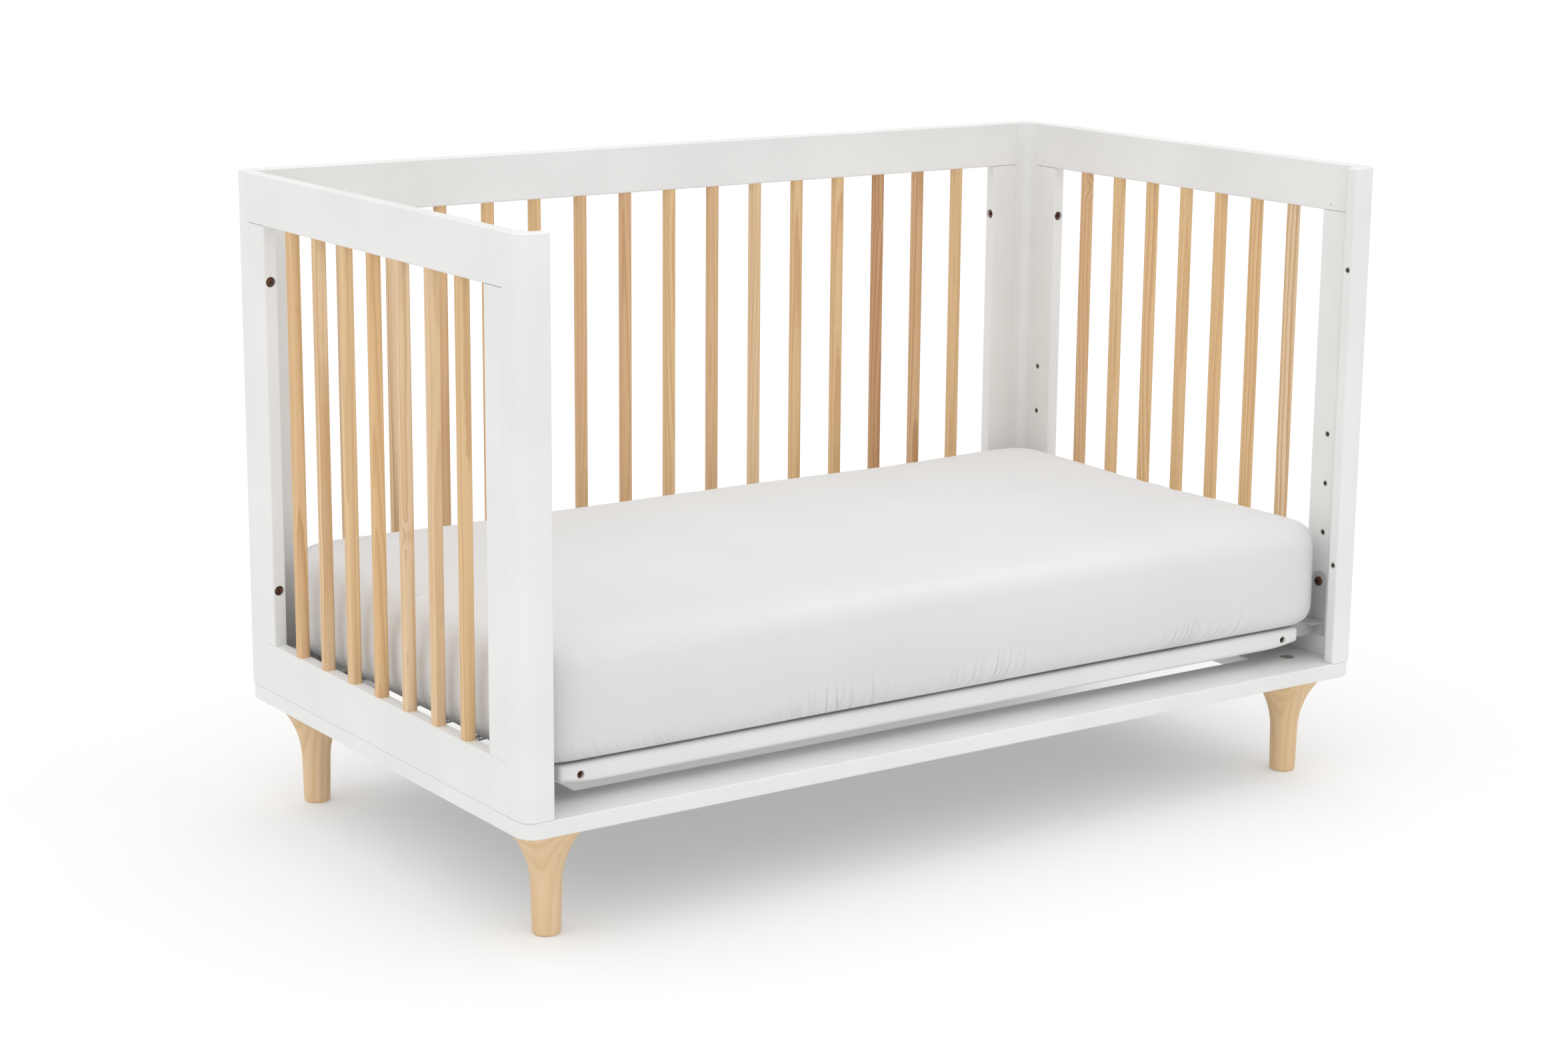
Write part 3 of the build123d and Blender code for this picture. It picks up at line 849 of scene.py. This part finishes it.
def make_springs():
    """Cross wires and long wires, each with a coil spring hooked to the frame at both ends."""
    wire = 1.15 * mm
    wire_points = 12
    coil_wire = 0.75 * mm
    low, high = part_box("spring_mesh")
    coil_length = 30 * mm
    coil_level = high.z - 4.5 * mm
    shells = []
    layout = [
        (13, False, coil_level, low.y, high.y, low.x, high.x),
        (7, True, coil_level + 2.5 * mm, low.x, high.x, low.y, high.y),
    ]
    for count, along_x, level, start, end, side_low, side_high in layout:
        width = side_high - side_low
        for number in range(count):
            across = side_low + width * (number + 0.5) / count
            for anchor, inward in ((start, 1), (end, -1)):
                hook, taken_over = anchor + inward * mm, anchor + inward * coil_length
                run = sprung_path(hook, taken_over, level, coil_level, across, along_x, inward)
                shells.append(tube(run, coil_wire, 5))
            ends = np.linspace(start + coil_length, end - coil_length, wire_points)
            aside = np.full(wire_points, across)
            height = np.full(wire_points, level)
            columns = (ends, aside, height) if along_x else (aside, ends, height)
            shells.append(tube(np.stack(columns, -1), wire, 8))
    piece = new_piece("spring_wires", shells, 60)
    finish_piece(piece, "support", "support_steel", steel, "spring_mesh")


def make_bar():
    """White bar under the mattress edge.

    At both ends its lower edge sweeps up by the lift times the square of the share of the sweep.
    """
    low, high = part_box("stabilizer_bar")
    sweep, lift = 60 * mm, 6 * mm
    share = np.linspace(0, 1, 7)
    right = np.stack([high.x - sweep + sweep * share, low.z + lift * share**2], 1)
    left = right[::-1] * np.array([-1, 1])
    corners = np.vstack([right, [(high.x, high.z), (low.x, high.z)], left])
    radii = np.full(len(corners), 0.3 * mm)
    radii[6:10] = 5 * mm  # the bar's four corners; the rest lie along its two sweeps
    shell = prism(corners, radii, low.y, high.y, 6 * mm, mm, (0, 2, 1))
    bar = new_piece("stabilizer_bar_painted", [shell])
    level = high.z - 14 * mm
    holes = [((side * (high.x - 30 * mm), low.y, level), (0, 1, 0), 5 * mm, 7 * mm) for side in (-1, 1)]
    drill(bar, holes)
    finish_piece(bar, "support", "painted_wood", white_paint, "stabilizer_bar")


make_springs()
make_bar()


# ---------------------------------------------------------------- mattress and fitted sheet

pad_corner = 52 * mm
pad_top_edge = 30 * mm
pad_bottom_edge = 28 * mm
pad_cell = 12.5 * mm
pad_rise = 8 * mm
pad_ease = 5 * mm  # the form starts this much inside the mattress and swells out
pad_top_ease = 4 * mm
cloth_steps = 20
cover_depth = 1.6 * mm  # from the sheet's outer face to the mattress's own cover
edge_turns = 6  # steps round the pad's top edge, and round its bottom edge
wall_rows = 5


class Pad:
    """The mattress form as a grid: a top sheet of cells, a wall of rings and a bottom sheet.

    The wall is the plan's core rectangle plus a distance along the plan's normal; the distance and
    the height run along a quarter circle over the top edge, a bulged wall and a quarter circle
    under the bottom edge.
    """

    def __init__(self, low, high):
        self.middle = np.array([(low.x + high.x) / 2, (low.y + high.y) / 2])
        self.half = np.array([(high.x - low.x) / 2, (high.y - low.y) / 2])
        self.low = low.z
        self.high = high.z
        self.core = self.half - pad_corner
        self.cells = np.round(2 * (self.half - pad_top_edge) / pad_cell).astype(int)
        self.build()

    def level_grid(self, radius, height):
        """Cells over a rounded rectangle: each corner's square is drawn in onto a quarter disc.

        A point's offset beyond the core keeps its direction, and its length becomes the larger of
        its two parts.
        """
        x = np.linspace(-1, 1, self.cells[0] + 1) * (self.core[0] + radius)
        y = np.linspace(-1, 1, self.cells[1] + 1) * (self.core[1] + radius)
        flat = np.stack(np.meshgrid(x, y), -1)
        beyond = np.maximum(np.abs(flat) - self.core, 0)
        length = np.linalg.norm(beyond, axis=-1)
        shrink = np.where(beyond.min(-1) > 0, beyond.max(-1) / np.maximum(length, 1e-9), 1)
        flat = np.sign(flat) * (np.minimum(np.abs(flat), self.core) + beyond * shrink[..., None])
        return np.concatenate([flat, np.full((*flat.shape[:2], 1), height)], -1)

    def build(self):
        top = self.level_grid(pad_corner - pad_top_edge, self.high)
        bottom = self.level_grid(pad_corner - pad_bottom_edge, self.low)
        rows, columns = top.shape[:2]
        index = np.arange(rows * columns).reshape(rows, columns)
        rim = np.concatenate([index[0, :-1], index[:-1, -1], index[-1, :0:-1], index[:0:-1, 0]])
        edge = top.reshape(-1, 3)[rim, :2]
        foot = np.clip(edge, -self.core, self.core)
        normal = edge - foot
        normal /= np.linalg.norm(normal, axis=1, keepdims=True)
        turn = np.linspace(0, np.pi / 2, edge_turns + 1)[1:]
        share = np.arange(1, wall_rows + 1) / (wall_rows + 1)
        wall_high = self.high - pad_top_edge
        wall_low = self.low + pad_bottom_edge
        over = self.quarter(turn, pad_top_edge, self.high, -1)
        wall = np.stack([np.full(wall_rows, pad_corner), wall_high + (wall_low - wall_high) * share], 1)
        under = self.quarter(turn[::-1], pad_bottom_edge, self.low, 1)
        profile = np.vstack([over, wall, under])
        sides = foot[None] + profile[:, :1, None] * normal[None]
        heights = np.repeat(profile[:, 1:], len(rim), 1)
        sides = np.concatenate([sides, heights[..., None]], -1)
        self.points = np.concatenate([top.reshape(-1, 3), sides.reshape(-1, 3), bottom.reshape(-1, 3)])
        self.points[:, :2] += self.middle
        side_index = rows * columns + np.arange(sides.shape[0] * len(rim)).reshape(sides.shape[0], len(rim))
        bottom_index = rows * columns + side_index.size + index
        self.rings = np.vstack([rim, side_index, bottom_index.reshape(-1)[rim]])
        self.top_faces = self.cell_faces(index)
        self.bottom_faces = self.cell_faces(bottom_index)[..., ::-1]
        here, below = self.rings[:-1], self.rings[1:]
        self.wall_faces = np.stack([here, below, np.roll(below, -1, 1), np.roll(here, -1, 1)], -1)
        self.bottom_index = bottom_index
        step = np.linalg.norm(np.roll(edge, -1, 0) - edge, axis=1)
        self.run = np.concatenate([[0], np.cumsum(step)])[:-1]
        self.length = step.sum()
        self.bearing = np.arctan2(edge[:, 1] / self.half[1], edge[:, 0] / self.half[0])

    def quarter(self, turn, radius, level, sign):
        """Distance and height along a quarter circle from a flat face to the wall."""
        distance = pad_corner - radius * (1 - np.sin(turn))
        return np.stack([distance, level + sign * radius * (1 - np.cos(turn))], 1)

    def run_at(self, plan):
        """Run round the rim at a position in plan, found from its bearing from the middle."""
        away = (plan - self.middle) / self.half
        bearing = np.arctan2(away[..., 1], away[..., 0])
        order = np.argsort(self.bearing)
        start = order[0]
        run = np.mod(self.run[order] - self.run[start], self.length) + self.run[start]
        return np.interp(bearing, self.bearing[order], run)

    def cell_faces(self, index):
        return np.stack([index[:-1, :-1], index[:-1, 1:], index[1:, 1:], index[1:, :-1]], -1)

    def all_faces(self):
        parts = (self.top_faces, self.wall_faces, self.bottom_faces)
        return np.concatenate([part.reshape(-1, 4) for part in parts]).tolist()

    def sheet_faces(self, tuck_cells):
        """Everything but the opening under the mattress."""
        rows, columns = self.bottom_faces.shape[:2]
        row, column = np.mgrid[:rows, :columns]
        near = np.minimum(np.minimum(row, rows - 1 - row), np.minimum(column, columns - 1 - column))
        tuck = self.bottom_faces[near < tuck_cells]
        parts = (self.top_faces, self.wall_faces, tuck)
        return np.concatenate([part.reshape(-1, 4) for part in parts]).tolist()


def mesh_normals(points, faces):
    """Vertex normals of a quad mesh: the sum of the cross products of its faces' diagonals."""
    faces = np.array(faces)
    corner = points[faces]
    face_normal = np.cross(corner[:, 2] - corner[:, 0], corner[:, 3] - corner[:, 1])
    normal = np.zeros_like(points)
    for column in range(4):
        np.add.at(normal, faces[:, column], face_normal)
    length = np.linalg.norm(normal, axis=1, keepdims=True)
    return normal / np.maximum(length, 1e-12)


def inflate(pad):
    """Cloth with pressure over the grid, its bottom pinned, moved by no more than pad_rise.

    A move of some size becomes pad_rise times the hyperbolic tangent of that size over pad_rise.
    """
    mesh = bpy.data.meshes.new("pad cloth")
    mesh.from_pydata(pad.points.tolist(), [], pad.all_faces())
    cloth = bpy.data.objects.new("pad cloth", mesh)
    bpy.context.scene.collection.objects.link(cloth)
    pinned = cloth.vertex_groups.new(name="flat bottom")
    pinned.add(pad.bottom_index.reshape(-1).tolist(), 1.0, "REPLACE")
    pinned.add(pad.rings[-4:].reshape(-1).tolist(), 1.0, "REPLACE")
    modifier = cloth.modifiers.new("cloth", "CLOTH")
    settings = modifier.settings
    settings.quality = 6
    settings.mass = 0.25
    settings.tension_stiffness = 18
    settings.compression_stiffness = 18
    settings.shear_stiffness = 8
    settings.bending_stiffness = 2.0
    settings.use_pressure = True
    settings.uniform_pressure_force = 0.35
    settings.vertex_group_mass = pinned.name
    settings.effector_weights.gravity = 0
    modifier.collision_settings.use_collision = False
    modifier.point_cache.frame_end = cloth_steps
    scene = bpy.context.scene
    for number in range(1, cloth_steps + 1):
        scene.frame_set(number)
    evaluated = cloth.evaluated_get(bpy.context.evaluated_depsgraph_get())
    moved = np.empty(len(pad.points) * 3)
    evaluated.data.vertices.foreach_get("co", moved)
    scene.frame_set(1)
    bpy.data.objects.remove(cloth)
    shift = moved.reshape(-1, 3) - pad.points
    size = np.linalg.norm(shift, axis=1, keepdims=True)
    pad.points = pad.points + shift * pad_rise * np.tanh(size / pad_rise) / np.maximum(size, 1e-9)


def drape_relief(pad, normal):
    """Low relief of the cloth, in metres along the normal: broad softness and hem pleats.

    The softness is the mean of nine sine waves in plan. The pleats are the mean of seven sine
    waves along the run, strong and weak by turns, and fade out 50 mm above the bottom edge.
    """
    chance = np.random.default_rng(11)
    x, y, z = pad.points.T
    soft = np.zeros(len(x))
    for _ in range(9):
        wave = chance.uniform(4, 16, 2) * chance.choice([-1, 1], 2)
        soft += np.sin(wave[0] * x + wave[1] * y + chance.uniform(0, 6.3)) / 9
    run = np.zeros(len(x))
    run[pad.rings] = pad.run[None]
    pull = np.zeros(len(x))
    for _ in range(7):
        pull += np.sin(run * chance.uniform(120, 330) + chance.uniform(0, 6.3)) / 7
    strong = 0.45 + 0.55 * np.sin(run * 5.3 + 1.1) ** 2
    height = z - pad.low
    low_band = np.clip(1 - height / 0.05, 0, 1) ** 1.5 * (normal[:, 2] > -0.8)
    return 1.1 * mm * soft + 1.6 * mm * pull * strong * low_band


def make_bedding():
    low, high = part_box("mattress")
    low = low + Vector((pad_ease, pad_ease, 0))
    high = high - Vector((pad_ease, pad_ease, pad_top_ease))
    pad = Pad(low, high)
    inflate(pad)
    faces = pad.all_faces()
    normal = mesh_normals(pad.points, faces)
    inside = pad.points - normal * cover_depth
    core = new_piece("mattress_pad", [(inside, faces)], 180)
    finish_piece(core, "bedding", "mattress_cover", tick, "mattress")
    relief = drape_relief(pad, normal)
    skin = pad.points + normal * relief[:, None]
    skin[:, 2] = np.maximum(skin[:, 2], low.z - 0.2 * mm)
    make_sheet(pad, skin)


def cloth_chart(pad, skin, faces):
    """Map of the cloth at each face's corners, in metres.

    On top it is the position in plan. On the wall and the tuck it is the run round the mattress and
    the height above the bottom edge, and the last column's run goes on past the full length.
    """
    corners = np.array(faces)
    top = corners.max(1) < (pad.cells[0] + 1) * (pad.cells[1] + 1)
    middle = skin[corners].mean(1, keepdims=True)
    run = pad.run_at(skin[corners][..., :2])
    middle_run = pad.run_at(middle[..., :2])
    run += pad.length * np.round((middle_run - run) / pad.length)
    wall = np.stack([run, np.clip(skin[corners][..., 2] - pad.low, 0, None)], -1)
    plan = skin[corners][..., :2] + np.array([pad.length, 1.0])
    return np.where(top[:, None, None], plan, wall)


def make_sheet(pad, skin):
    """The fitted sheet: open underneath, stretched over the mattress, with its hem tucked under."""
    tuck_cells = 6
    faces = pad.sheet_faces(tuck_cells)
    mesh = bpy.data.meshes.new("fitted_sheet_cotton")
    mesh.from_pydata(skin.tolist(), [], faces)
    layer = mesh.uv_layers.new(name="cloth run")
    layer.data.foreach_set("uv", cloth_chart(pad, skin, faces).ravel())
    work = bmesh.new()
    work.from_mesh(mesh)
    loose = [vertex for vertex in work.verts if not vertex.link_faces]
    bmesh.ops.delete(work, geom=loose, context="VERTS")
    work.to_mesh(mesh)
    work.free()
    mesh.polygons.foreach_set("use_smooth", np.ones(len(mesh.polygons), bool))
    sheet = bpy.data.objects.new("fitted_sheet_cotton", mesh)
    bpy.context.scene.collection.objects.link(sheet)
    finish_piece(sheet, "bedding", "sheet_cotton", percale, "fitted_sheet")
    finer = sheet.modifiers.new("finer", "SUBSURF")
    finer.levels = 1
    finer.render_levels = 1
    cloth = sheet.modifiers.new("cloth thickness", "SOLIDIFY")
    cloth.thickness = 0.8 * mm
    cloth.offset = -1


make_bedding()


# ---------------------------------------------------------------- floor, light and camera


def make_floor():
    """A wide disc of plain pale floor, faintly lit from within like a light table."""
    angle = np.linspace(0, 2 * np.pi, 96, endpoint=False)
    ring = np.stack([np.cos(angle), np.sin(angle), np.zeros(96)], -1) * 60
    mesh = bpy.data.meshes.new("floor")
    mesh.from_pydata(ring.tolist(), [], [list(range(96))])
    floor = bpy.data.objects.new("floor", mesh)
    bpy.context.scene.collection.objects.link(floor)
    plain = Finish("pale floor")
    plain.set(Base_Color=(0.70, 0.70, 0.70), Roughness=0.9, Specular_IOR_Level=0.1)
    plain.set(Emission_Color=(1, 1, 1), Emission_Strength=0.20)
    mesh.materials.append(plain.material)


def make_light():
    """Even white surroundings, a broad soft light from above and a weaker one from the left."""
    world = bpy.data.worlds.new("studio")
    world.use_nodes = True
    sky = world.node_tree.nodes["Background"]
    sky.inputs["Color"].default_value = (1, 1, 1, 1)
    sky.inputs["Strength"].default_value = 0.50
    bpy.context.scene.world = world
    for name, source, spread, strength in (
        ("light from above", (-0.05, -0.10, 1.0), 120, 2.10),
        ("light from the left", (-1.0, -0.45, 0.35), 100, 0.20),
    ):
        lamp = bpy.data.lights.new(name, "SUN")
        lamp.angle = np.radians(spread)
        lamp.energy = strength
        holder = bpy.data.objects.new(name, lamp)
        bpy.context.scene.collection.objects.link(holder)
        holder.rotation_euler = Vector(source).to_track_quat("Z", "Y").to_euler()


def make_camera():
    """Camera from its standing point, heading from +Y towards +X, downward pitch and slight roll."""
    heading, pitch, roll = np.radians([34.754, 12.906, 0.518])
    stand = (-2.4418, -3.4498, 1.349)
    level = np.array([np.sin(heading), np.cos(heading), 0])
    right = np.array([np.cos(heading), -np.sin(heading), 0])
    up = np.array([0, 0, 1.0])
    forward = np.cos(pitch) * level - np.sin(pitch) * up
    upward = np.sin(pitch) * level + np.cos(pitch) * up
    side = np.cos(roll) * right + np.sin(roll) * upward
    top = np.cos(roll) * upward - np.sin(roll) * right
    lens = bpy.data.cameras.new("camera")
    lens.lens = 71.45
    lens.sensor_width = 36
    lens.clip_end = 200
    camera = bpy.data.objects.new("camera", lens)
    bpy.context.scene.collection.objects.link(camera)
    turn = Matrix([[side[i], top[i], -forward[i], stand[i]] for i in range(3)] + [[0, 0, 0, 1]])
    camera.matrix_world = turn
    bpy.context.scene.camera = camera


make_floor()
make_light()
make_camera()
bpy.context.scene.view_settings.view_transform = "Standard"
